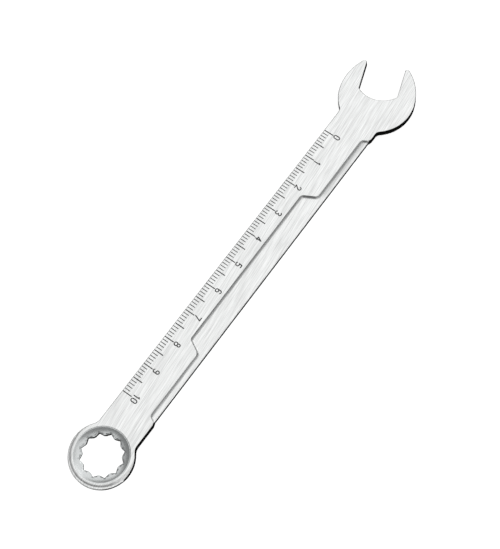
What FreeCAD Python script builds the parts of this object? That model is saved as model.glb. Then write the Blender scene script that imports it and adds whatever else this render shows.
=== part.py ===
import FreeCAD, Part
import math
import os
import re

import Sketcher
from FreeCAD import Placement, Rotation, Vector

# A flat combination wrench: a twelve-point ring, an open jaw turned off the handle's line, and a
# handle that carries a centimetre scale along one edge and a stepped recess along the other.
# Frame: the ring's centre is the origin, on the plane the wrench lies on. +X runs to the jaw,
# +Y to the edge with the scale, and +Z up through the marked face. Lengths in millimetres.

SIZES = {
    # plate and handle
    "thickness": 2.5,
    "handle_width": 13.6,
    "edge_chamfer": 0.15,
    # ring
    "ring_radius": 9.72,
    "ring_shift": 0.2,
    "ring_neck_rounding": 3.0,
    "nose_rounding": 1.1,
    "nose_shift": 0.5,
    "nose_angle": 240,
    "rim_width": 1.6,
    "dish_depth": 0.65,
    "dish_side_radius": 3.8,
    # twelve-point hole
    "ring_hexagon": 11.0,
    "ring_clearance": 0.1,
    "tooth_count": 12,
    "tooth_flank_angle": 68,
    "tooth_rounding": 1.2,
    "hole_chamfer": 0.12,
    "floor_past_flats": 0.55,
    # open jaw
    "jaw_hexagon": 12.0,
    "jaw_clearance": 0.15,
    "jaw_angle": 19.3,
    "head_radius": 11.8,
    "tine_tip_width": 1.08,
    "tine_reach": 11.4,
    "tine_tip_rounding": 0.5,
    "throat_setback": 0.85,
    "throat_radius": 8.7,
    "head_neck_rounding": 1.7,
    # scale
    "centimetre": 10.0,
    "centimetre_count": 10,
    "scale_from_ring": 18.4,
    "scale_from_head": 18.0,
    "groove_depth": 0.12,
    "mark_from_edge": 0.2,
    "long_mark_length": 3.15,
    "short_mark_length": 1.85,
    "long_mark_width": 0.32,
    "short_mark_width": 0.24,
    # numerals
    "numeral_from_edge": 4.65,
    "numeral_height": 2.25,
    "numeral_width": 1.3,
    "numeral_stroke": 0.33,
    "numeral_gap": 0.5,
    # recess
    "recess_depth": 0.7,
    "recess_cove": 1.1,
    "recess_past_ring_mark": 2.6,
    "recess_past_head_mark": 4.8,
    "narrow_length": 22.6,
    "narrow_width": 2.2,
    "numeral_land": 0.85,
    "step_slope": 62,
    "step_rounding": 1.4,
    "end_rounding": 1.5,
    "edge_setback": 0.4,
    "setback_ramp": 1.2,
    "ledge_chamfer": 0.2,
}

# Formulas that several features share, in the names of the sheet.
HALF_WIDTH = "handle_width / 2"
HEAD_DISTANCE = "(scale_from_ring + centimetre_count * centimetre + scale_from_head)"
ZERO_MARK = "(scale_from_ring + centimetre_count * centimetre)"
HALF_OPENING = "(jaw_hexagon + jaw_clearance) / 2"
TIP_HALF_WIDTH = "((jaw_hexagon + jaw_clearance) / 2 + tine_tip_width)"
TIP_DROP = "(head_radius - " + TIP_HALF_WIDTH + ")"
TINE_CURVE = "((tine_reach * tine_reach + " + TIP_DROP + " * " + TIP_DROP + ") / (2 * " + TIP_DROP + "))"
DISH_RADIUS = "(ring_radius - rim_width)"
DISH_FLOOR = "((ring_hexagon + ring_clearance) / 2 + floor_past_flats)"
NOSE_RADIUS = "(ring_radius + nose_shift)"
NOSE_ROUNDING = "min(nose_rounding; thickness / 2 - edge_chamfer)"
HALF_TOOTH = "180 / tooth_count"
TOOTH_RADIUS = (
    "(((ring_hexagon + ring_clearance) / 2 + tooth_rounding) / cos(180 / tooth_count)"
    " - tooth_rounding / sin(tooth_flank_angle))"
)
NOTCH_RADIUS = TOOTH_RADIUS + " * sin(tooth_flank_angle) / sin(tooth_flank_angle - 180 / tooth_count)"
RECESS_FROM = "(scale_from_ring - recess_past_ring_mark)"
RECESS_TO = "(scale_from_ring + centimetre_count * centimetre + recess_past_head_mark)"
LEDGE_EDGE = "(edge_setback - handle_width / 2)"
NARROW_WALL = "(edge_setback - handle_width / 2 + narrow_width)"
WIDE_WALL = "(handle_width / 2 - numeral_from_edge - numeral_height / 2 - numeral_land)"
STEP_RUN = "((" + WIDE_WALL + " - " + NARROW_WALL + ") / tan(step_slope))"
END_RUN = "(narrow_width / tan(step_slope))"

# The number that a pocket's Type uses for a cut through everything.
THROUGH_ALL = 1

# Lengths closer than SAME count as equal when edges are picked, and an edge that spans less than
# FLAT along a direction lies square to it.
SAME = 0.01
FLAT = 0.0001

document = FreeCAD.newDocument("combination_wrench")
sheet = document.addObject("Spreadsheet::Sheet", "sizes")
for row, (name, value) in enumerate(SIZES.items(), start=1):
    sheet.set(f"A{row}", name)
    sheet.set(f"B{row}", str(value))
    sheet.setAlias(f"B{row}", name)
document.recompute()


def bound(formula):
    """The formula with each size's name pointing at its cell."""
    return re.sub(r"[a-z_]+", lambda word: "sizes." + word[0] if word[0] in SIZES else word[0], formula)


def size(name):
    return float(sheet.get(name))


def zero_mark():
    return size("scale_from_ring") + size("centimetre_count") * size("centimetre")


def dish_floor():
    return (size("ring_hexagon") + size("ring_clearance")) / 2 + size("floor_past_flats")


def origin_plane(body, role):
    return next(plane for plane in body.Origin.OriginFeatures if plane.Role == role)


def new_body(name):
    body = document.addObject("PartDesign::Body", name)
    body.Label = name
    return body


def new_sketch(body, name, plane="XY_Plane", along="0", across="0", height="0", turn=None):
    """A sketch on one of the body's own planes, moved along the plane's axes and off it."""
    sketch = body.newObject("Sketcher::SketchObject", name)
    sketch.AttachmentSupport = [(origin_plane(body, plane), "")]
    sketch.MapMode = "FlatFace"
    for axis, formula in zip("xyz", (along, across, height)):
        sketch.setExpression("AttachmentOffset.Base." + axis, bound(formula))
    if turn:
        sketch.AttachmentOffset = Placement(Vector(), Rotation(Vector(0, 0, 1), 1))
        sketch.setExpression("AttachmentOffset.Rotation.Angle", bound(turn))
    return sketch


def pin_point(sketch, edge, end, along=None, across=None):
    """Hold one end of an edge at distances from the sketch's origin."""
    for kind, formula in (("DistanceX", along), ("DistanceY", across)):
        if formula is not None:
            point = sketch.getPoint(edge, end)
            drawn = point.x if kind == "DistanceX" else point.y
            index = sketch.addConstraint(Sketcher.Constraint(kind, -1, 1, edge, end, drawn))
            sketch.setExpression(f"Constraints[{index}]", bound(formula))


def pin_radius(sketch, edge, formula):
    index = sketch.addConstraint(Sketcher.Constraint("Radius", edge, sketch.Geometry[edge].Radius))
    sketch.setExpression(f"Constraints[{index}]", bound(formula))


def join_ends(sketch, edges):
    """Close a loop of edges, each running from its start (1) to its end (2)."""
    for (edge, end), (following, start) in zip(edges, edges[1:] + edges[:1]):
        sketch.addConstraint(Sketcher.Constraint("Coincident", edge, end, following, 3 - start))


def add_polygon(sketch, corners):
    """A closed polygon whose corners are pairs of formulas."""
    first = sketch.GeometryCount
    count = len(corners)
    turns = [2 * math.pi * k / count for k in range(count)]
    guess = [Vector(math.cos(turn), math.sin(turn)) for turn in turns]
    for k in range(count):
        sketch.addGeometry(Part.LineSegment(guess[k], guess[(k + 1) % count]))
    for k in range(count):
        sketch.addConstraint(Sketcher.Constraint("Coincident", first + k, 2, first + (k + 1) % count, 1))
    for k, (along, across) in enumerate(corners):
        pin_point(sketch, first + k, 1, along, across)


def arc(centre, radius, from_degrees, to_degrees):
    circle = Part.Circle(Vector(*centre), Vector(0, 0, 1), radius)
    return Part.ArcOfCircle(circle, math.radians(from_degrees), math.radians(to_degrees))


def line(start, end):
    return Part.LineSegment(Vector(*start), Vector(*end))


def add_feature(body, kind, name, sketch, **settings):
    """A sketch-based feature; text settings are formulas, the others plain values."""
    feature = body.newObject("PartDesign::" + kind, name)
    feature.Profile = sketch
    for setting, value in settings.items():
        if isinstance(value, str):
            feature.setExpression(setting, bound(value))
        else:
            setattr(feature, setting, value)
    document.recompute()
    return feature


def soften_edges(body, name, wanted, radius=None, chamfer=None):
    """Round or chamfer the edges of the body's tip that the test accepts."""
    tip = body.Tip
    edges = [f"Edge{k}" for k, edge in enumerate(tip.Shape.Edges, start=1) if wanted(edge)]
    feature = body.newObject("PartDesign::Fillet" if radius else "PartDesign::Chamfer", name)
    feature.Base = (tip, edges)
    feature.setExpression("Radius" if radius else "Size", bound(radius or chamfer))
    document.recompute()
    return feature


def is_upright(edge):
    box = edge.BoundBox
    return max(box.XLength, box.YLength) < FLAT < box.ZLength


def lies_at_height(edge, height):
    box = edge.BoundBox
    return box.ZLength < FLAT and abs(box.ZMin - height) < FLAT


# The forging: ring disc, handle and head in one outline, with the jaw cut through the head.

wrench = new_body("wrench_blank")


def pad_ring():
    """The disc's centre lies a little behind the hole's, so that the ring is thickest at its far end."""
    sketch = new_sketch(wrench, "ring_outline", along="-ring_shift")
    sketch.addGeometry(Part.Circle(Vector(), Vector(0, 0, 1), size("ring_radius")))
    sketch.addConstraint(Sketcher.Constraint("Coincident", 0, 3, -1, 1))
    pin_radius(sketch, 0, "ring_radius")
    add_feature(wrench, "Pad", "ring_disc", sketch, Length="thickness")


def pad_handle():
    """A bar from the ring's centre to the head's, set back along the recess."""
    sketch = new_sketch(wrench, "handle_outline")
    add_polygon(
        sketch,
        [
            ("0", HALF_WIDTH),
            ("0", "-" + HALF_WIDTH),
            (RECESS_FROM + " - setback_ramp / 2", "-" + HALF_WIDTH),
            (RECESS_FROM + " + setback_ramp / 2", LEDGE_EDGE),
            (RECESS_TO + " - setback_ramp / 2", LEDGE_EDGE),
            (RECESS_TO + " + setback_ramp / 2", "-" + HALF_WIDTH),
            (HEAD_DISTANCE, "-" + HALF_WIDTH),
            (HEAD_DISTANCE, HALF_WIDTH),
        ],
    )
    add_feature(wrench, "Pad", "handle_bar", sketch, Length="thickness")


def pad_head():
    """A half disc behind, and two flatter arcs that run on from it to the tips of the tines."""
    head = size("head_radius")
    reach = size("tine_reach")
    tip = (size("jaw_hexagon") + size("jaw_clearance")) / 2 + size("tine_tip_width")
    drop = head - tip
    curve = (reach * reach + drop * drop) / (2 * drop)
    tip_angle = math.degrees(math.acos(reach / curve))
    sketch = new_sketch(wrench, "head_outline", along=HEAD_DISTANCE, turn="jaw_angle")
    sketch.addGeometry(arc((0, 0), head, 90, 270))
    sketch.addGeometry(arc((0, curve - head), curve, 270, 360 - tip_angle))
    sketch.addGeometry(line((reach, -tip), (reach, tip)))
    sketch.addGeometry(arc((0, head - curve), curve, tip_angle, 90))
    join_ends(sketch, [(0, 2), (1, 2), (2, 2), (3, 2)])
    sketch.addConstraint(Sketcher.Constraint("Coincident", 0, 3, -1, 1))
    for edge, end in ((0, 1), (0, 2), (1, 3), (3, 3)):
        sketch.addConstraint(Sketcher.Constraint("PointOnObject", edge, end, -2))
    sketch.addConstraint(Sketcher.Constraint("Vertical", 2))
    pin_radius(sketch, 0, "head_radius")
    pin_radius(sketch, 1, TINE_CURVE)
    pin_radius(sketch, 3, TINE_CURVE)
    pin_point(sketch, 2, 1, along="tine_reach")
    add_feature(wrench, "Pad", "head_disc", sketch, Length="thickness")


def cut_jaw():
    """Two parallel flats and a hollow throat between them."""
    half = (size("jaw_hexagon") + size("jaw_clearance")) / 2
    radius = size("throat_radius")
    centre = radius - size("throat_setback")
    spread = math.degrees(math.asin(half / radius))
    corner = centre - radius * math.cos(math.radians(spread))
    mouth = size("tine_reach") + size("head_radius")
    sketch = new_sketch(wrench, "jaw_outline", along=HEAD_DISTANCE, turn="jaw_angle")
    sketch.addGeometry(arc((centre, 0), radius, 180 - spread, 180 + spread))
    sketch.addGeometry(line((corner, -half), (mouth, -half)))
    sketch.addGeometry(line((mouth, -half), (mouth, half)))
    sketch.addGeometry(line((mouth, half), (corner, half)))
    join_ends(sketch, [(0, 2), (1, 2), (2, 2), (3, 2)])
    pin_radius(sketch, 0, "throat_radius")
    pin_point(sketch, 0, 3, along="throat_radius - throat_setback", across="0")
    pin_point(sketch, 1, 1, across="-" + HALF_OPENING)
    pin_point(sketch, 2, 1, along="tine_reach + head_radius", across="-" + HALF_OPENING)
    pin_point(sketch, 3, 1, along="tine_reach + head_radius", across=HALF_OPENING)
    pin_point(sketch, 3, 2, across=HALF_OPENING)
    add_feature(wrench, "Pocket", "jaw", sketch, Type=THROUGH_ALL, Reversed=True)


def round_outline():
    """Fillets where ring and head meet the handle, at the tine tips, and round every outer edge."""
    half = size("handle_width") / 2
    distance = zero_mark() + size("scale_from_head")
    turned = Rotation(Vector(0, 0, 1), -size("jaw_angle"))

    def at_handle_side(edge, centre, radius):
        point = edge.CenterOfMass
        reach = math.hypot(point.x - centre, point.y)
        return is_upright(edge) and abs(abs(point.y) - half) < SAME and abs(reach - radius) < SAME

    def at_tine_tip(edge):
        along = turned.multVec(edge.CenterOfMass - Vector(distance, 0, 0)).x
        return is_upright(edge) and abs(along - size("tine_reach")) < SAME

    def at_ring(edge):
        return at_handle_side(edge, -size("ring_shift"), size("ring_radius"))

    def at_head(edge):
        return at_handle_side(edge, distance, size("head_radius"))

    def on_a_face(edge):
        return lies_at_height(edge, 0) or lies_at_height(edge, size("thickness"))

    soften_edges(wrench, "ring_neck", at_ring, radius="ring_neck_rounding")
    soften_edges(wrench, "head_neck", at_head, radius="head_neck_rounding")
    soften_edges(wrench, "tine_tips", at_tine_tip, radius="tine_tip_rounding")
    soften_edges(wrench, "outer_edges", on_a_face, chamfer="edge_chamfer")


def round_nose():
    """The far side of the ring is rounded over; the cut's axis is shifted so that it fades out."""
    depth = size("thickness")
    radius = size("ring_radius") + size("nose_shift")
    rounding = min(size("nose_rounding"), depth / 2 - size("edge_chamfer"))
    outer = radius + rounding
    flat = radius - rounding
    sketch = new_sketch(wrench, "nose_outline", plane="XZ_Plane", along="nose_shift - ring_shift")
    sketch.addGeometry(arc((-flat, depth - rounding), rounding, 90, 180))
    sketch.addGeometry(line((-radius, depth - rounding), (-radius, rounding)))
    sketch.addGeometry(arc((-flat, rounding), rounding, 180, 270))
    sketch.addGeometry(line((-flat, 0), (-flat, -rounding)))
    sketch.addGeometry(line((-flat, -rounding), (-outer, -rounding)))
    sketch.addGeometry(line((-outer, -rounding), (-outer, depth + rounding)))
    sketch.addGeometry(line((-outer, depth + rounding), (-flat, depth + rounding)))
    sketch.addGeometry(line((-flat, depth + rounding), (-flat, depth)))
    join_ends(sketch, [(k, 2) for k in range(8)])
    flat_at = "-(" + NOSE_RADIUS + " - " + NOSE_ROUNDING + ")"
    outer_at = "-(" + NOSE_RADIUS + " + " + NOSE_ROUNDING + ")"
    above = "thickness + " + NOSE_ROUNDING
    below = "-" + NOSE_ROUNDING
    pin_point(sketch, 0, 3, flat_at, "thickness - " + NOSE_ROUNDING)
    pin_point(sketch, 0, 1, flat_at, "thickness")
    pin_point(sketch, 1, 1, across="thickness - " + NOSE_ROUNDING)
    pin_point(sketch, 2, 3, flat_at, NOSE_ROUNDING)
    pin_point(sketch, 2, 1, across=NOSE_ROUNDING)
    pin_point(sketch, 3, 1, flat_at, "0")
    pin_point(sketch, 4, 1, flat_at, below)
    pin_point(sketch, 5, 1, outer_at, below)
    pin_point(sketch, 6, 1, outer_at, above)
    pin_point(sketch, 7, 1, flat_at, above)
    add_feature(wrench, "Groove", "nose", sketch, ReferenceAxis=(sketch, ["V_Axis"]),
                Midplane=True, Angle="nose_angle")


def cut_dish(name, face, inward):
    """A hollow with a curved side that leads the ring onto a nut; face and inward are formulas."""
    outer = size("ring_radius") - size("rim_width")
    floor = dish_floor()
    depth = size("dish_depth")
    top = size("thickness") if inward < 0 else 0
    floor_point = Vector(floor, top + inward * depth, 0)
    rim_point = Vector(outer, top, 0)
    chord = rim_point - floor_point
    towards_centre = Vector(-depth, -inward * (outer - floor), 0).normalize()
    away = math.sqrt(size("dish_side_radius") ** 2 - chord.Length ** 2 / 4)
    centre = floor_point + chord * 0.5 + towards_centre * away
    spokes = [floor_point - centre, rim_point - centre]
    ends = sorted(math.degrees(math.atan2(spoke.y, spoke.x)) for spoke in spokes)
    rim_end, floor_end = (2, 1) if inward < 0 else (1, 2)
    floor_height = f"{face} + {inward} * dish_depth"
    clear_height = f"{face} - {inward} * dish_depth"
    sketch = new_sketch(wrench, name + "_outline", plane="XZ_Plane")
    sketch.addGeometry(arc((centre.x, centre.y), size("dish_side_radius"), *ends))
    straight_sides = [
        ((floor, top + inward * depth), (0, top + inward * depth)),
        ((0, top + inward * depth), (0, top - inward * depth)),
        ((0, top - inward * depth), (outer, top - inward * depth)),
        ((outer, top - inward * depth), (outer, top)),
    ]
    for start, end in straight_sides:
        sketch.addGeometry(line(start, end))
    sketch.addConstraint(Sketcher.Constraint("Coincident", 0, floor_end, 1, 1))
    for k in (1, 2, 3):
        sketch.addConstraint(Sketcher.Constraint("Coincident", k, 2, k + 1, 1))
    sketch.addConstraint(Sketcher.Constraint("Coincident", 4, 2, 0, rim_end))
    pin_radius(sketch, 0, "dish_side_radius")
    pin_point(sketch, 1, 1, DISH_FLOOR, floor_height)
    pin_point(sketch, 2, 1, "0", floor_height)
    pin_point(sketch, 3, 1, "0", clear_height)
    pin_point(sketch, 4, 1, DISH_RADIUS, clear_height)
    pin_point(sketch, 4, 2, DISH_RADIUS, face)
    add_feature(wrench, "Groove", name, sketch, ReferenceAxis=(sketch, ["V_Axis"]), Angle=360.0)


def cut_ring_hole():
    """Twelve teeth whose rounded tips touch the flats of a nut in either of its two positions."""
    teeth = int(size("tooth_count"))
    corners = []
    for k in range(teeth):
        for radius, halves in ((TOOTH_RADIUS, 2 * k), (NOTCH_RADIUS, 2 * k + 1)):
            turn = f"({halves} * {HALF_TOOTH})"
            corners.append((f"{radius} * cos{turn}", f"{radius} * sin{turn}"))
    sketch = new_sketch(wrench, "ring_hole_outline")
    add_polygon(sketch, corners)
    add_feature(wrench, "Pocket", "ring_hole", sketch, Type=THROUGH_ALL, Reversed=True)

    def at_tooth(edge):
        point = edge.CenterOfMass
        pitches = math.degrees(math.atan2(point.y, point.x)) * teeth / 360
        near = math.hypot(point.x, point.y) < dish_floor() + size("tooth_rounding")
        return is_upright(edge) and near and abs(pitches - round(pitches)) < SAME

    def at_dish_floor(edge):
        upper = size("thickness") - size("dish_depth")
        level = lies_at_height(edge, upper) or lies_at_height(edge, size("dish_depth"))
        return level and max(edge.BoundBox.XLength, edge.BoundBox.YLength) < dish_floor()

    soften_edges(wrench, "tooth_tips", at_tooth, radius="tooth_rounding")
    soften_edges(wrench, "hole_edges", at_dish_floor, chamfer="hole_chamfer")


def cut_recess():
    """A stepped ledge along the edge away from the scale, with a coved wall."""
    cutter = new_body("recess_cutter")
    sketch = new_sketch(cutter, "recess_outline", height="thickness - recess_depth")
    outside = "-handle_width"
    add_polygon(
        sketch,
        [
            (RECESS_FROM, outside),
            (RECESS_TO, outside),
            (RECESS_TO, LEDGE_EDGE),
            (RECESS_TO + " - " + END_RUN, NARROW_WALL),
            (RECESS_TO + " - " + END_RUN + " - narrow_length", NARROW_WALL),
            (RECESS_TO + " - " + END_RUN + " - narrow_length - " + STEP_RUN, WIDE_WALL),
            (RECESS_FROM + " + " + END_RUN + " + narrow_length + " + STEP_RUN, WIDE_WALL),
            (RECESS_FROM + " + " + END_RUN + " + narrow_length", NARROW_WALL),
            (RECESS_FROM + " + " + END_RUN, NARROW_WALL),
            (RECESS_FROM, LEDGE_EDGE),
        ],
    )
    add_feature(cutter, "Pad", "recess_block", sketch, Length="recess_cove + recess_depth")
    far_end = zero_mark() + size("recess_past_head_mark")
    near_end = size("scale_from_ring") - size("recess_past_ring_mark")
    end_run = size("narrow_width") / math.tan(math.radians(size("step_slope")))
    ledge_edge = size("edge_setback") - size("handle_width") / 2
    floor_height = size("thickness") - size("recess_depth")

    def in_from_end(edge):
        along = edge.CenterOfMass.x
        return min(along - near_end, far_end - along)

    def at_end(edge):
        return is_upright(edge) and abs(in_from_end(edge) - end_run) < SAME

    def at_step(edge):
        return is_upright(edge) and in_from_end(edge) > end_run + size("narrow_length") / 2

    def at_floor(edge):
        return lies_at_height(edge, floor_height) and edge.BoundBox.YMax > ledge_edge + SAME

    soften_edges(cutter, "end_corners", at_end, radius="end_rounding")
    soften_edges(cutter, "step_corners", at_step, radius="step_rounding")
    soften_edges(cutter, "cove", at_floor, radius="recess_cove")
    floor = "thickness - recess_depth"
    wedge = new_sketch(cutter, "ledge_chamfer_outline", plane="YZ_Plane",
                       height=RECESS_FROM + " + end_rounding")
    add_polygon(
        wedge,
        [
            (LEDGE_EDGE + " + ledge_chamfer", floor),
            (LEDGE_EDGE + " - ledge_chamfer", floor),
            (LEDGE_EDGE + " - ledge_chamfer", floor + " - 2 * ledge_chamfer"),
        ],
    )
    add_feature(cutter, "Pad", "ledge_chamfer", wedge,
                Length=RECESS_TO + " - " + RECESS_FROM + " - 2 * end_rounding")
    recess = wrench.newObject("PartDesign::Boolean", "recess")
    recess.Type = "Cut"
    recess.setObjects([cutter])
    document.recompute()


# The scale: enamel bodies, each as thick as its groove is deep, flush with the marked face.


def marks_body(name, tenths, step, count, length, width):
    """Equal marks square to the edge, at the given tenths of a centimetre, repeated towards the ring."""
    body = new_body(name)
    body.AllowCompound = True
    sketch = new_sketch(body, name + "_outline", along=ZERO_MARK, across=HALF_WIDTH,
                        height="thickness - groove_depth")
    for tenth in tenths:
        near = f"-{tenth} * centimetre / 10 + {width} / 2"
        far = f"-{tenth} * centimetre / 10 - {width} / 2"
        inner = f"-mark_from_edge - {length}"
        outer = "-mark_from_edge"
        add_polygon(sketch, [(near, outer), (far, outer), (far, inner), (near, inner)])
    first = add_feature(body, "Pad", name + "_first", sketch, Length="groove_depth")
    row = body.newObject("PartDesign::LinearPattern", name + "_row")
    row.Originals = [first]
    row.Direction = (next(o for o in body.Origin.OriginFeatures if o.Role == "X_Axis"), [""])
    row.Reversed = True
    row.setExpression("Length", bound(f"({count} - 1) * {step}"))
    row.setExpression("Occurrences", bound(count))
    body.Tip = row
    document.recompute()
    return body


def upright_prism(corners, height):
    outline = [Vector(*corner) for corner in corners]
    return Part.Face(Part.makePolygon(outline + outline[:1])).extrude(Vector(0, 0, height))


def pen_lines(*points):
    """Straight pen strokes from each point to the next, with round ends."""
    half = size("numeral_stroke") / 2
    depth = size("groove_depth")
    solids = [Part.makeCylinder(half, depth, Vector(*point)) for point in points]
    for start, end in zip(points, points[1:]):
        length = math.dist(start, end)
        side = ((start[1] - end[1]) * half / length, (end[0] - start[0]) * half / length)
        corners = [(point[0] + sign * side[0], point[1] + sign * side[1])
                   for point, sign in ((start, 1), (end, 1), (end, -1), (start, -1))]
        solids.append(upright_prism(corners, depth))
    return solids


def pen_arc(centre, radius, from_degrees, to_degrees):
    """A circular pen stroke, anticlockwise from one angle to the other, with round ends."""
    half = size("numeral_stroke") / 2
    depth = size("groove_depth")
    turn = Rotation(Vector(0, 0, 1), from_degrees)
    outer = Part.makeCylinder(radius + half, depth, Vector(), Vector(0, 0, 1), to_degrees - from_degrees)
    band = outer.cut(Part.makeCylinder(radius - half, depth))
    band.Placement = Placement(Vector(*centre), turn)
    ends = [Part.makeCylinder(half, depth, Vector(*around(centre, radius, angle)))
            for angle in (from_degrees, to_degrees)]
    return [band] + ends


def around(centre, radius, degrees):
    turn = math.radians(degrees)
    return (centre[0] + radius * math.cos(turn), centre[1] + radius * math.sin(turn))


def digit_shapes():
    """For each digit the width along the middle of its pen strokes, and the strokes themselves."""
    high = size("numeral_height") - size("numeral_stroke")
    wide = size("numeral_width") - size("numeral_stroke")
    bend = wide / 2
    bowl = high / 4
    big_bowl = 0.29 * high
    top = (bend, high - bend)
    foot = (bend, bend)
    upper = (wide - bowl, high - bowl)
    lower = (wide - bowl, bowl)
    belly = (wide - big_bowl, big_bowl)
    flag = 0.35 * wide
    stem = 0.72 * wide
    bar = 0.3 * high
    waist = 0.54 * high
    neck = 0.12 * wide
    brow = 0.92 * wide
    foot_of_seven = 0.3 * wide
    return {
        "0": (wide, pen_arc(top, bend, 0, 180) + pen_arc(foot, bend, 180, 360)
              + pen_lines((0, top[1]), (0, foot[1])) + pen_lines((wide, top[1]), (wide, foot[1]))),
        "1": (flag, pen_lines((0, high - flag), (flag, high), (flag, 0))),
        "2": (wide, pen_arc(top, bend, -40, 170) + pen_lines(around(top, bend, -40), (0, 0), (wide, 0))),
        "3": (wide, pen_arc(upper, bowl, -90, 150) + pen_arc(lower, bowl, -150, 90)),
        "4": (wide, pen_lines((stem, 0), (stem, high), (0, bar), (wide, bar))),
        "5": (wide, pen_lines((brow, high), (neck, high), around(belly, big_bowl, 140))
              + pen_arc(belly, big_bowl, -140, 140)),
        "6": (wide, pen_arc(foot, bend, 0, 360) + pen_lines((0, foot[1]), (0, top[1]))
              + pen_arc(top, bend, 40, 180)),
        "7": (wide, pen_lines((0, high), (wide, high), (foot_of_seven, 0))),
        "8": (wide, pen_arc((bend, (high + waist) / 2), (high - waist) / 2, 0, 360)
              + pen_arc((bend, waist / 2), waist / 2, 0, 360)),
        "9": (wide, pen_arc(top, bend, 0, 360) + pen_lines((wide, top[1]), (wide, foot[1]))
              + pen_arc(foot, bend, 220, 360)),
    }


def numeral_body(value, digits):
    """A numeral centred on its mark, its top away from the edge, read from the jaw to the ring."""
    stroke = size("numeral_stroke")
    depth = size("groove_depth")
    text = str(value)
    widths = [digits[digit][0] + stroke for digit in text]
    total = sum(widths) + (len(text) - 1) * size("numeral_gap")
    left = -total / 2
    solids = []
    for digit, width in zip(text, widths):
        strokes = digits[digit][1]
        solid = strokes[0].multiFuse(strokes[1:]).removeSplitter().Solids[0]
        solid.translate(Vector(left + stroke / 2, (stroke - size("numeral_height")) / 2, 0))
        solids.append(solid)
        left += width + size("numeral_gap")
    numeral = document.addObject("Part::Feature", f"numeral_{value}")
    numeral.Label = f"numeral_{value}"
    numeral.Shape = Part.makeCompound(solids)
    from_ring = size("scale_from_ring") + (size("centimetre_count") - value) * size("centimetre")
    from_axis = size("handle_width") / 2 - size("numeral_from_edge")
    numeral.Placement = Placement(Vector(from_ring, from_axis, size("thickness") - depth),
                                  Rotation(Vector(0, 0, 1), 180))
    return numeral


pad_ring()
pad_handle()
pad_head()
cut_jaw()
round_outline()
round_nose()
cut_dish("upper_dish", "thickness", -1)
cut_dish("lower_dish", "0", 1)
cut_ring_hole()
cut_recess()
marks = [
    marks_body("centimetre_marks", [0], "centimetre", "centimetre_count + 1", "long_mark_length",
               "long_mark_width"),
    marks_body("half_centimetre_marks", [5], "centimetre", "centimetre_count", "long_mark_length",
               "long_mark_width"),
    marks_body("millimetre_marks", [1, 2, 3, 4], "centimetre / 2", "centimetre_count * 2",
               "short_mark_length", "short_mark_width"),
]
digits = digit_shapes()
numerals = [numeral_body(value, digits) for value in range(int(size("centimetre_count")) + 1)]

grooves = document.addObject("Part::Compound", "grooves")
grooves.Links = marks + numerals
body = document.addObject("Part::Cut", "wrench_body")
body.Label = "wrench_body"
body.Base = wrench
body.Tool = grooves
document.recompute()

sub_parts = [body] + marks + numerals
failed = [item.Name for item in document.Objects if {"Invalid", "Error"} & set(item.State)]
if failed:
    raise RuntimeError("failed features: " + ", ".join(failed))
for item in sub_parts:
    if item.Shape.isNull() or not item.Shape.isValid():
        raise RuntimeError("bad shape: " + item.Label)
os.makedirs("parts", exist_ok=True)
for item in sub_parts:
    item.Shape.exportStep(f"parts/{item.Label}.step")
    box = item.Shape.BoundBox
    print(f"{item.Label:24} solids {len(item.Shape.Solids):3} volume {item.Shape.Volume:10.3f}"
          f"  x {box.XMin:7.2f}..{box.XMax:7.2f}  y {box.YMin:6.2f}..{box.YMax:6.2f}"
          f"  z {box.ZMin:5.2f}..{box.ZMax:5.2f}")
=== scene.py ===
import math

import bmesh
import bpy
import numpy as np
from mathutils import Matrix, Vector


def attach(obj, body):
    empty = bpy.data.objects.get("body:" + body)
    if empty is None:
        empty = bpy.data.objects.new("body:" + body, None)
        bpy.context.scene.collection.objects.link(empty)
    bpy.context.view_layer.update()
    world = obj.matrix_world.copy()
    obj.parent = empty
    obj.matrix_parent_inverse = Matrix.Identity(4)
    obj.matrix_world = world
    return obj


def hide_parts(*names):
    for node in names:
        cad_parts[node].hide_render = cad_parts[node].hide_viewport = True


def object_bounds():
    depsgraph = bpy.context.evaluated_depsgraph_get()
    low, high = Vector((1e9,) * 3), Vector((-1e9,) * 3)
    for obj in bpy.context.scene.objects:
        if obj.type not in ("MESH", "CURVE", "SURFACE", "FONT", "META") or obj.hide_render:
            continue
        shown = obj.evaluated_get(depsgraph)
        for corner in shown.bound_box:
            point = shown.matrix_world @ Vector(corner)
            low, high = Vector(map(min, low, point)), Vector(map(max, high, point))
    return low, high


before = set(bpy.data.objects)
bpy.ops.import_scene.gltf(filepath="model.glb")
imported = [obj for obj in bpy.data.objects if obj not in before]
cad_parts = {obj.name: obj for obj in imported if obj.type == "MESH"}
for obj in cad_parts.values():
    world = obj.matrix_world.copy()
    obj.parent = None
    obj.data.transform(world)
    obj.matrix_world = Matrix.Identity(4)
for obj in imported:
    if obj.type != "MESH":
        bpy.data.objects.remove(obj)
lowCorner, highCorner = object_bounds()
millimetre = 0.001
print("frame loaded:", len(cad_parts), "nodes")


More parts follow.
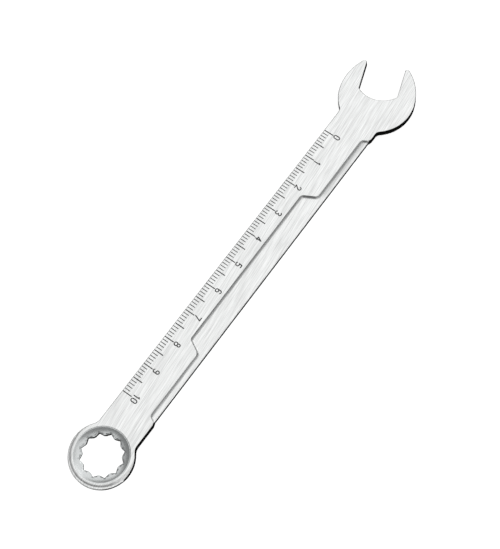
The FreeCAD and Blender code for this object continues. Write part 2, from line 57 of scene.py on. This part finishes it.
# A socket that can be written in arithmetic: each operator adds the Math node of its name.
class Wire:

    def __init__(self, finish, socket):
        self.finish = finish
        self.socket = socket

    def math(self, operation, *others):
        values = {0: self, **dict(enumerate(others, 1))}
        return self.finish.node("ShaderNodeMath", {"operation": operation}, values)

    def __add__(self, other):
        return self.math("ADD", other)

    def __radd__(self, other):
        return self + other

    def __sub__(self, other):
        return self.math("SUBTRACT", other)

    def __rsub__(self, other):
        return self * -1 + other

    def __mul__(self, other):
        return self.math("MULTIPLY", other)

    def __rmul__(self, other):
        return self * other

    def __abs__(self):
        return self.math("ABSOLUTE")

    def power(self, exponent):
        return self.math("POWER", exponent)

    def most(self, other):
        return self.math("MAXIMUM", other)

    # 0 before start, 1 past stop and a smooth step between them; stop may be the lower one.
    def rise(self, start, stop):
        if start > stop:
            return 1 - self.rise(stop, start)
        return self.finish.node("ShaderNodeMapRange", {"interpolation_type": "SMOOTHSTEP"},
                                {"Value": self, "From Min": start, "From Max": stop}, "Result")

    # 1 between the two edges and 0 outside; each edge is the pair that rise takes.
    def between(self, entering, leaving):
        return self.rise(*entering) * self.rise(*leaving)


# A material under construction.
class Finish:

    def __init__(self, name):
        self.material = bpy.data.materials.new(name)
        self.material.use_nodes = True
        self.tree = self.material.node_tree
        self.tree.nodes.clear()

    # Any node, from its type, its settings, its sockets' values or links, and the output wanted.
    def node(self, kind, settings=None, values=None, output=0):
        made = self.tree.nodes.new(kind)
        for name, value in (settings or {}).items():
            setattr(made, name, value)
        for name, value in (values or {}).items():
            if isinstance(value, Wire):
                self.tree.links.new(value.socket, made.inputs[name])
            else:
                made.inputs[name].default_value = value
        return Wire(self, made.outputs[output]) if made.outputs else None

    # The first colour where the factor is 0 and the second where it is 1.
    def blendColours(self, factor, first, second):
        colours = [value if isinstance(value, Wire) else (*value, 1) for value in (first, second)]
        return self.node("ShaderNodeMix", {"data_type": "RGBA"},
                         {0: factor, 6: colours[0], 7: colours[1]}, 2)

    # The three parts of a vector.
    def split(self, vector):
        parts = self.node("ShaderNodeSeparateXYZ", values={0: vector}).socket.node.outputs
        return [Wire(self, part) for part in parts]

    # The point in the object, as a vector in metres and as x, y and z in millimetres.
    def place(self):
        vector = self.node("ShaderNodeTexCoord", output="Object")
        return vector, [part * 1000 for part in self.split(vector)]

    # The surface's own direction: its z is 1 on a level face and 0 on an upright wall.
    def facing(self):
        return self.split(self.node("ShaderNodeTexCoord", output="Normal"))

    # Noise drawn out along one direction: turn in degrees, along and across in millimetres.
    def grain(self, vector, turn, along, across, detail=2.0, roughness=0.5):
        turned = self.node("ShaderNodeMapping", {"vector_type": "TEXTURE"},
                           {"Vector": vector, "Rotation": (0, 0, math.radians(turn))})
        scale = (1000 / along, 1000 / across, 1000 / along)
        drawn = self.node("ShaderNodeVectorMath", {"operation": "MULTIPLY"}, {0: turned, 1: scale})
        return self.node("ShaderNodeTexNoise", {"noise_dimensions": "3D"},
                         {"Vector": drawn, "Scale": 1.0, "Detail": detail, "Roughness": roughness},
                         "Fac")

    # A surface that leans as a relief of the given height would; one unit of height is depth metres.
    def bump(self, height, strength, depth):
        return self.node("ShaderNodeBump", output="Normal",
                         values={"Strength": strength, "Distance": depth, "Height": height})

    def close(self, **values):
        named = {key.replace("_", " "): value for key, value in values.items()}
        shader = self.node("ShaderNodeBsdfPrincipled", values=named)
        self.node("ShaderNodeOutputMaterial", values={"Surface": shader})
        return self.material


def putOn(thing, material):
    thing.data.materials.clear()
    thing.data.materials.append(material)


# Places are in millimetres from the ring's centre, x towards the jaw and y towards the scale.
wrenchSteel = {
    "faceColour": (0.815, 0.824, 0.82),
    # painted shade: the near-black colour laid on upright walls
    "wallShadeColour": (0.008, 0.008, 0.008),
    # painted shade: the grey laid on the recess's foot and the narrow ledge
    "coveShadeColour": (0.33, 0.335, 0.335),
    "dishColour": (0.66, 0.68, 0.68),
    "dishClouding": 0.9,                      # how bright the dish's duller patches are
    "grazingTint": (0.1, 0.1, 0.1),
    "brushTurn": 5.0,                         # degrees off the handle's line
    "coarseStreak": {"along": 16.0, "across": 0.42, "detail": 3.0, "roughness": 0.6},
    "fineStreak": {"along": 7.0, "across": 0.2},
    "cloud": {"along": 9.0, "across": 7.0},
    "coarseShare": 0.15,
    "fineShare": 1.15,
    "streakContrast": 0.9,
    "cloudContrast": 0.05,
    "faceRoughness": (0.34, 0.22),            # the middle, and what a streak adds
    "dishRoughness": (0.26, 0.08),            # the middle, and what a cloud adds
    "wallRoughness": 0.8,
    "shadeLean": (0.82, 0.6),                   # painted shade: walls darken as their z direction falls so
    "shadeSparingEdges": (0.35, 0.1),                     # and only so far down where the painted shade spares the edges
    "ringEnd": ((10.2, 10.0), (1.0, -1.0)),   # edges spared by the painted shade: the ring's far end, by radius and by x
    "recessAcross": ((-6.5, -6.3), (6.3, 6.1)),
    "recessAlong": ((14.5, 15.0), (124.5, 124.0)),
    "coveLean": (0.04, 0.75),
    "coveAcrossShare": 0.9,
    "coveHeight": (2.45, 2.3),
    "coveStart": (13.0, 14.0),
    "coveEdge": (-6.15, -5.9),
    "ledgeShade": 0.7,
    "ledgeAcross": (-6.5, -4.4),
    "ledgeHeight": (2.0, 1.9),
    "ledgeAlong": ((99.5, 102.0), (122.5, 121.5)),
    "polish": (8.5, 8.1),                     # the ring is polished within this radius
    "dishMiddle": 7.0,
    "dishRelief": (0.015, -0.085),            # slope and curve of the hollow, from its middle
    "rimStart": 8.12,
    "rimRelief": -0.18,
    "rimFade": (6.0, -2.0),
    "streakRelief": 0.003,
    "mergeDistance": 0.002,
    "sharpAngle": 50.0,
    "levelDirection": 0.9999,
}


def steelFinish(look):
    finish = Finish("brushedSteel")
    vector, (x, y, z) = finish.place()
    nx, ny, nz = finish.facing()
    coarse = finish.grain(vector, look["brushTurn"], **look["coarseStreak"])
    fine = finish.grain(vector, look["brushTurn"], **look["fineStreak"])
    cloud = finish.grain(vector, 0, **look["cloud"]) - 0.5
    streaks = (coarse - 0.5) * look["coarseShare"] + (fine - 0.5) * look["fineShare"]
    fromCentre = (x * x + y * y).power(0.5)
    polished = fromCentre.rise(*look["polish"])

    # painted shade: upright walls are coloured near-black, less so inside the recess and round the
    # ring's far end
    radiusEdge, halfEdge = look["ringEnd"]
    ringEnd = fromCentre.rise(*radiusEdge) * x.rise(*halfEdge)
    recess = y.between(*look["recessAcross"]) * x.between(*look["recessAlong"])
    shadeSparingEdges = ringEnd.most(recess)
    wall = abs(nz).rise(*look["shadeLean"]) * (1 - shadeSparingEdges) + abs(nz).rise(*look["shadeSparingEdges"]) * shadeSparingEdges

    # painted shade: the recess's foot is grey where it leans towards its open side, and so is the
    # narrow ledge, darker towards its wall
    lean = (ny * -look["coveAcrossShare"]).most(nx * -1).rise(*look["coveLean"])
    foot = lean * z.rise(*look["coveHeight"]) * x.rise(*look["coveStart"]) * y.rise(*look["coveEdge"])
    ledge = y.rise(*look["ledgeAcross"]) * z.rise(*look["ledgeHeight"]) * x.between(*look["ledgeAlong"])
    cove = foot.most(ledge * look["ledgeShade"])

    tone = 1 + streaks * look["streakContrast"] + cloud * look["cloudContrast"]
    face = finish.node("ShaderNodeVectorMath", {"operation": "SCALE"},
                       {0: look["faceColour"], "Scale": tone})
    clouded = [value * look["dishClouding"] for value in look["dishColour"]]
    dish = finish.blendColours(cloud + 0.5, look["dishColour"], clouded)
    # painted shade: the grey of the recess's foot and ledge is laid over the steel's colour
    skin = finish.blendColours(cove, finish.blendColours(polished, face, dish), look["coveShadeColour"])
    # painted shade: the walls' near-black is laid over everything else
    colour = finish.blendColours(wall, skin, look["wallShadeColour"])

    faceRoughness, streakRoughness = look["faceRoughness"]
    dishRoughness, cloudRoughness = look["dishRoughness"]
    brushed = faceRoughness + streaks * streakRoughness
    mirrored = dishRoughness + cloud * cloudRoughness
    roughness = brushed * (1 - polished) + polished * mirrored
    roughness = roughness * (1 - wall) + wall * look["wallRoughness"]

    # heights in millimetres: the dish is hollow up to its teeth, and the rim outside it is domed
    fromDish = fromCentre - look["dishMiddle"]
    fromRim = (fromCentre - look["rimStart"]).most(0)
    slope, curve = look["dishRelief"]
    hollow = fromDish * slope + fromDish * fromDish * curve
    dome = fromRim * fromRim * look["rimRelief"] * x.rise(*look["rimFade"])
    height = hollow * polished + dome + streaks * (1 - polished) * look["streakRelief"]
    return finish.close(Base_Color=colour, Metallic=1.0, Roughness=roughness,
                        Normal=finish.bump(height, 1.0, millimetre),
                        Specular_Tint=(*look["grazingTint"], 1))


# The node's triangles joined at their shared corners, so that curved faces shade as curves and
# level faces keep their own direction.
def smoothCopy(node, look):
    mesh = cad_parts[node].data.copy()
    joined = bmesh.new()
    joined.from_mesh(mesh)
    bmesh.ops.remove_doubles(joined, verts=joined.verts, dist=look["mergeDistance"] * millimetre)
    joined.to_mesh(mesh)
    joined.free()
    if "custom_normal" in mesh.attributes:
        mesh.attributes.remove(mesh.attributes["custom_normal"])
    mesh.shade_smooth()
    mesh.set_sharp_from_angle(angle=math.radians(look["sharpAngle"]))
    directions = np.empty(len(mesh.polygons) * 3, np.float32)
    mesh.polygon_normals.foreach_get("vector", directions)
    level = np.abs(directions[2::3]) > look["levelDirection"]
    mesh.polygons.foreach_set("use_smooth", ~level)
    piece = bpy.data.objects.new("wrench_forging", mesh)
    bpy.context.scene.collection.objects.link(piece)
    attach(piece, "root")
    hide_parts(node)
    return piece


forging = smoothCopy("wrench_body", wrenchSteel)
putOn(forging, steelFinish(wrenchSteel))
print("steel:", len(forging.data.polygons), "faces")

scaleEnamel = {
    "colour": (0.022, 0.022, 0.022),
    "wornColour": (0.09, 0.092, 0.092),
    "speckle": {"along": 0.18, "across": 0.18, "detail": 3.0},
    "wear": {"along": 3.0, "across": 1.2},
    "speckleShare": 0.6,
    "wearShare": 0.4,
    "wornFrom": (0.45, 0.7),
    "roughness": 0.55,
    "wornRoughness": 0.15,
    "reliefStrength": 0.3,
    "reliefDepth": 0.01,                      # mm
}


def enamelFinish(look):
    finish = Finish("scaleEnamel")
    vector = finish.node("ShaderNodeTexCoord", output="Object")
    speckle = finish.grain(vector, 0, **look["speckle"])
    wear = finish.grain(vector, 0, **look["wear"])
    worn = (speckle * look["speckleShare"] + wear * look["wearShare"]).rise(*look["wornFrom"])
    colour = finish.blendColours(worn, look["colour"], look["wornColour"])
    relief = finish.bump(speckle, look["reliefStrength"], look["reliefDepth"] * millimetre)
    return finish.close(Base_Color=colour, Metallic=0.0, Normal=relief,
                        Roughness=look["roughness"] + worn * look["wornRoughness"])


enamel = enamelFinish(scaleEnamel)
for name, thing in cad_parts.items():
    if name != "wrench_body":
        putOn(thing, enamel)
print("enamel: scale and numerals filled")

studio = {
    "floorSize": 4.0,                         # m
    "floorDrop": 0.1,                         # mm below the lowest point
    "floorColour": (0.7, 0.7, 0.7),
    "floorRoughness": 0.9,
    "floorGlow": 0.75,
    "worldStrength": 0.28,
    "panelDistance": 1.0,
}

# Azimuth and elevation in degrees as seen from the wrench, sides in metres, strength in watts.
panels = [
    {"name": "overheadPanel", "azimuth": 45, "elevation": 73, "sides": (1.3, 1.3), "watts": 4.3},
    {"name": "jawSidePanel", "azimuth": -12, "elevation": 32, "sides": (0.7, 0.6), "watts": 1.5},
    {"name": "recessSidePanel", "azimuth": -98, "elevation": 38, "sides": (0.9, 0.5), "watts": 1.0},
    {"name": "lowSidePanel", "azimuth": -78, "elevation": 14, "sides": (1.2, 0.12), "watts": 0.45},
]


# A square of the given side, level, just under the lowest point.
def floorPlane(look):
    half = look["floorSize"] / 2
    corners = np.array([(-half, -half), (half, -half), (half, half), (-half, half)])
    height = np.full((4, 1), lowCorner[2] - look["floorDrop"] * millimetre)
    mesh = bpy.data.meshes.new("floor")
    mesh.from_pydata(np.hstack([corners, height]).tolist(), [], [(0, 1, 2, 3)])
    floor = bpy.data.objects.new("floor", mesh)
    bpy.context.scene.collection.objects.link(floor)
    putOn(floor, Finish("paleFloor").close(
        Base_Color=(*look["floorColour"], 1), Roughness=look["floorRoughness"],
        Emission_Color=(1, 1, 1, 1), Emission_Strength=look["floorGlow"]))


# A rectangle of light that faces the wrench from the given direction.
def addPanel(panel, centre, distance):
    azimuth = math.radians(panel["azimuth"])
    elevation = math.radians(panel["elevation"])
    level = math.cos(elevation)
    away = Vector((math.cos(azimuth) * level, math.sin(azimuth) * level, math.sin(elevation)))
    light = bpy.data.lights.new(panel["name"], "AREA")
    light.shape = "RECTANGLE"
    light.size, light.size_y = panel["sides"]
    light.energy = panel["watts"]
    lamp = bpy.data.objects.new(panel["name"], light)
    bpy.context.scene.collection.objects.link(lamp)
    lamp.location = centre + away * distance
    lamp.rotation_euler = away.to_track_quat("Z", "Y").to_euler()


floorPlane(studio)
middle = (Vector(lowCorner) + Vector(highCorner)) / 2
for panel in panels:
    addPanel(panel, middle, studio["panelDistance"])
world = bpy.data.worlds.new("studio")
world.use_nodes = True
background = world.node_tree.nodes["Background"].inputs
background["Color"].default_value = (1, 1, 1, 1)
background["Strength"].default_value = studio["worldStrength"]
bpy.context.scene.world = world
bpy.context.scene.view_settings.view_transform = "Standard"
print("studio: floor and", len(panels), "panels")

viewpoint = {
    "position": (-35.748, -118.161, 414.735),   # mm
    "right": (0.591766, -0.802465, -0.076569),
    "up": (0.771006, 0.535713, 0.344327),
    "lens": 98.36,
    "sensor": 36.0,
    "clip": (0.01, 20),                         # m
}


# The camera looks against the third axis of its right and up directions.
def addCamera(view):
    right = Vector(view["right"]).normalized()
    up = Vector(view["up"]).normalized()
    turn = Matrix((right, up, right.cross(up))).transposed().to_4x4()
    data = bpy.data.cameras.new("camera")
    data.lens = view["lens"]
    data.sensor_width = view["sensor"]
    data.clip_start, data.clip_end = view["clip"]
    camera = bpy.data.objects.new("camera", data)
    bpy.context.scene.collection.objects.link(camera)
    camera.matrix_world = Matrix.Translation(Vector(view["position"]) * millimetre) @ turn
    bpy.context.scene.camera = camera


addCamera(viewpoint)
print("camera placed")
